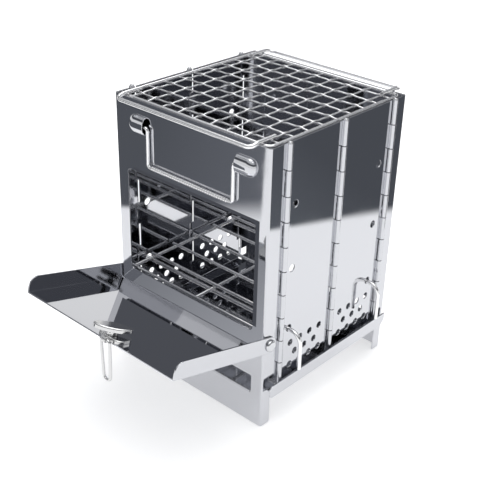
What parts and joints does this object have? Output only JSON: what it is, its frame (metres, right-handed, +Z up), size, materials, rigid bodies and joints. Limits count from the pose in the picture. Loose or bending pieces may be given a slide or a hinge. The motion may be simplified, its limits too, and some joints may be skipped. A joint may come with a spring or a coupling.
{
  "type": "folding charcoal grill",
  "caption": "Square upright folding charcoal grill of mirror steel sheet: drop-down fuel door with twist latch, wire carry handle, woven cooking net, charcoal grate on sliding rods, base tray.",
  "frame": {"origin": "on the ground, under the middle of the square body", "axes": "+X to the right along the front panel, +Y from the front panel to the rear panel, +Z up"},
  "size_m": [0.157, 0.2354, 0.2098],
  "materials": {
    "steel": "bright polished stainless sheet",
    "pin_steel": "bright polished stainless rod",
    "wire_steel": "bright drawn stainless wire",
    "nickel": "satin nickel plate, a little warm"
  },
  "bodies": {
    "stove_body": {"front_panel": "steel", "rear_panel": "steel", "front_right_leaf": "steel", "rear_right_leaf": "steel", "front_left_leaf": "steel", "rear_left_leaf": "steel", "hinge_pins": "pin_steel", "base_tray": "steel", "left_ear": "steel", "right_ear": "steel", "door_rivets": "pin_steel"},
    "door": {"door_panel": "steel", "latch_base": "nickel"},
    "wing": {"latch_wing": "nickel", "latch_post": "nickel"},
    "hook_loop": {"latch_loop": "nickel"},
    "carry_handle": {"handle_wire": "wire_steel", "handle_grip": "wire_steel"},
    "cooking_net": {"net_border": "wire_steel", "net_mesh": "wire_steel", "net_front_loop": "wire_steel", "net_rear_loop": "wire_steel"},
    "charcoal_grate": {"grate_runners": "wire_steel", "grate_bars": "wire_steel"},
    "front_support": {"front_rod": "wire_steel"},
    "rear_support": {"rear_rod": "wire_steel"}
  },
  "joints": [
    {"name": "door_hinge", "type": "hinge", "parent": "stove_body", "child": "door", "pos_m": [0, -0.065, 0.0665], "axis": [-1, 0, 0], "range_deg": [0, 62]},
    {"name": "latch_turn", "type": "hinge", "parent": "door", "child": "wing", "pos_m": [0.0098, -0.14782, 0.08351], "axis": [0, 0.2588, 0.9659], "range_deg": [-38, 52]},
    {"name": "hook_loop_swing", "type": "hinge", "parent": "door", "child": "hook_loop", "pos_m": [0.0119, -0.15449, 0.08644], "axis": [-1, 0, 0], "range_deg": [0, 70]},
    {"name": "handle_swing", "type": "hinge", "parent": "stove_body", "child": "carry_handle", "pos_m": [0, -0.0719, 0.1903], "axis": [-1, 0, 0], "range_deg": [0, 120]},
    {"name": "net_lift", "type": "slide", "parent": "stove_body", "child": "cooking_net", "axis": [0, 0, 1], "range_m": [0, 0.08]},
    {"name": "grate_lift", "type": "slide", "parent": "stove_body", "child": "charcoal_grate", "axis": [0, 0, 1], "range_m": [0, 0.0928]},
    {"name": "front_rod_slide", "type": "slide", "parent": "stove_body", "child": "front_support", "axis": [1, 0, 0], "range_m": [0, 0.15]},
    {"name": "rear_rod_slide", "type": "slide", "parent": "stove_body", "child": "rear_support", "axis": [1, 0, 0], "range_m": [0, 0.15]}
  ]
}
